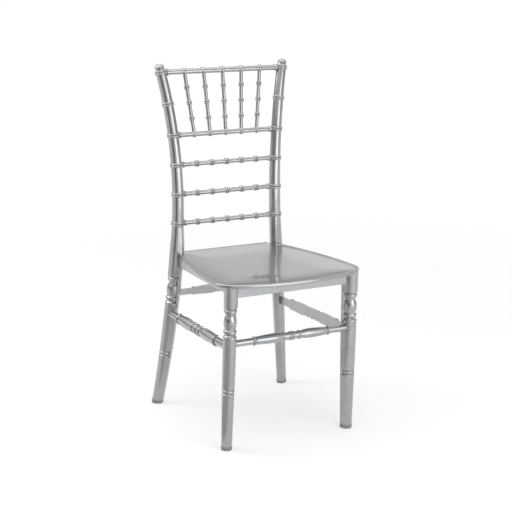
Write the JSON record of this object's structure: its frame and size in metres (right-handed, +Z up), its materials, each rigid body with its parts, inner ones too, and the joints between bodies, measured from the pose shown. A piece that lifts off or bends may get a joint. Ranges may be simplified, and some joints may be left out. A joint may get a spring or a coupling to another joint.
{
  "type": "chiavari chair",
  "caption": "Moulded chiavari chair with a fanned spindle back on bowed posts, a dished seat with a rolled rim, turned legs with a flat inner side and turned stretchers",
  "frame": {"origin": "on the floor under the middle of the whole chair, halfway between its widest and its deepest points", "axes": "+Z is up, the chair faces -Y, and +X is to the right of someone who looks at its front"},
  "size_m": [0.415, 0.4679, 0.9189],
  "materials": {
    "silver_plastic": "gloss",
    "glide_plastic": "satin",
    "steel": "satin"
  },
  "bodies": {
    "root": {"post_right": "silver_plastic", "post_left": "silver_plastic", "finial_right": "silver_plastic", "finial_left": "silver_plastic", "top_rail": "silver_plastic", "spindle_rail": "silver_plastic", "rail_upper": "silver_plastic", "rail_middle": "silver_plastic", "rail_lower": "silver_plastic", "spindle_1": "silver_plastic", "spindle_2": "silver_plastic", "spindle_3": "silver_plastic", "spindle_4": "silver_plastic", "spindle_5": "silver_plastic", "front_leg_right": "silver_plastic", "front_leg_left": "silver_plastic", "rear_leg_right": "silver_plastic", "rear_leg_left": "silver_plastic", "stretcher_front": "silver_plastic", "stretcher_back": "silver_plastic", "stretcher_right": "silver_plastic", "stretcher_left": "silver_plastic", "seat_shell": "silver_plastic", "apron_front": "silver_plastic", "apron_back": "silver_plastic", "apron_right": "silver_plastic", "apron_left": "silver_plastic", "bracket_front_right": "silver_plastic", "bracket_front_left": "silver_plastic", "bracket_rear_right": "silver_plastic", "bracket_rear_left": "silver_plastic", "glide_front_right": "glide_plastic", "glide_front_left": "glide_plastic", "glide_rear_right": "glide_plastic", "glide_rear_left": "glide_plastic", "leg_bolts": "steel", "seat_screws": "steel"}
  },
  "joints": []
}
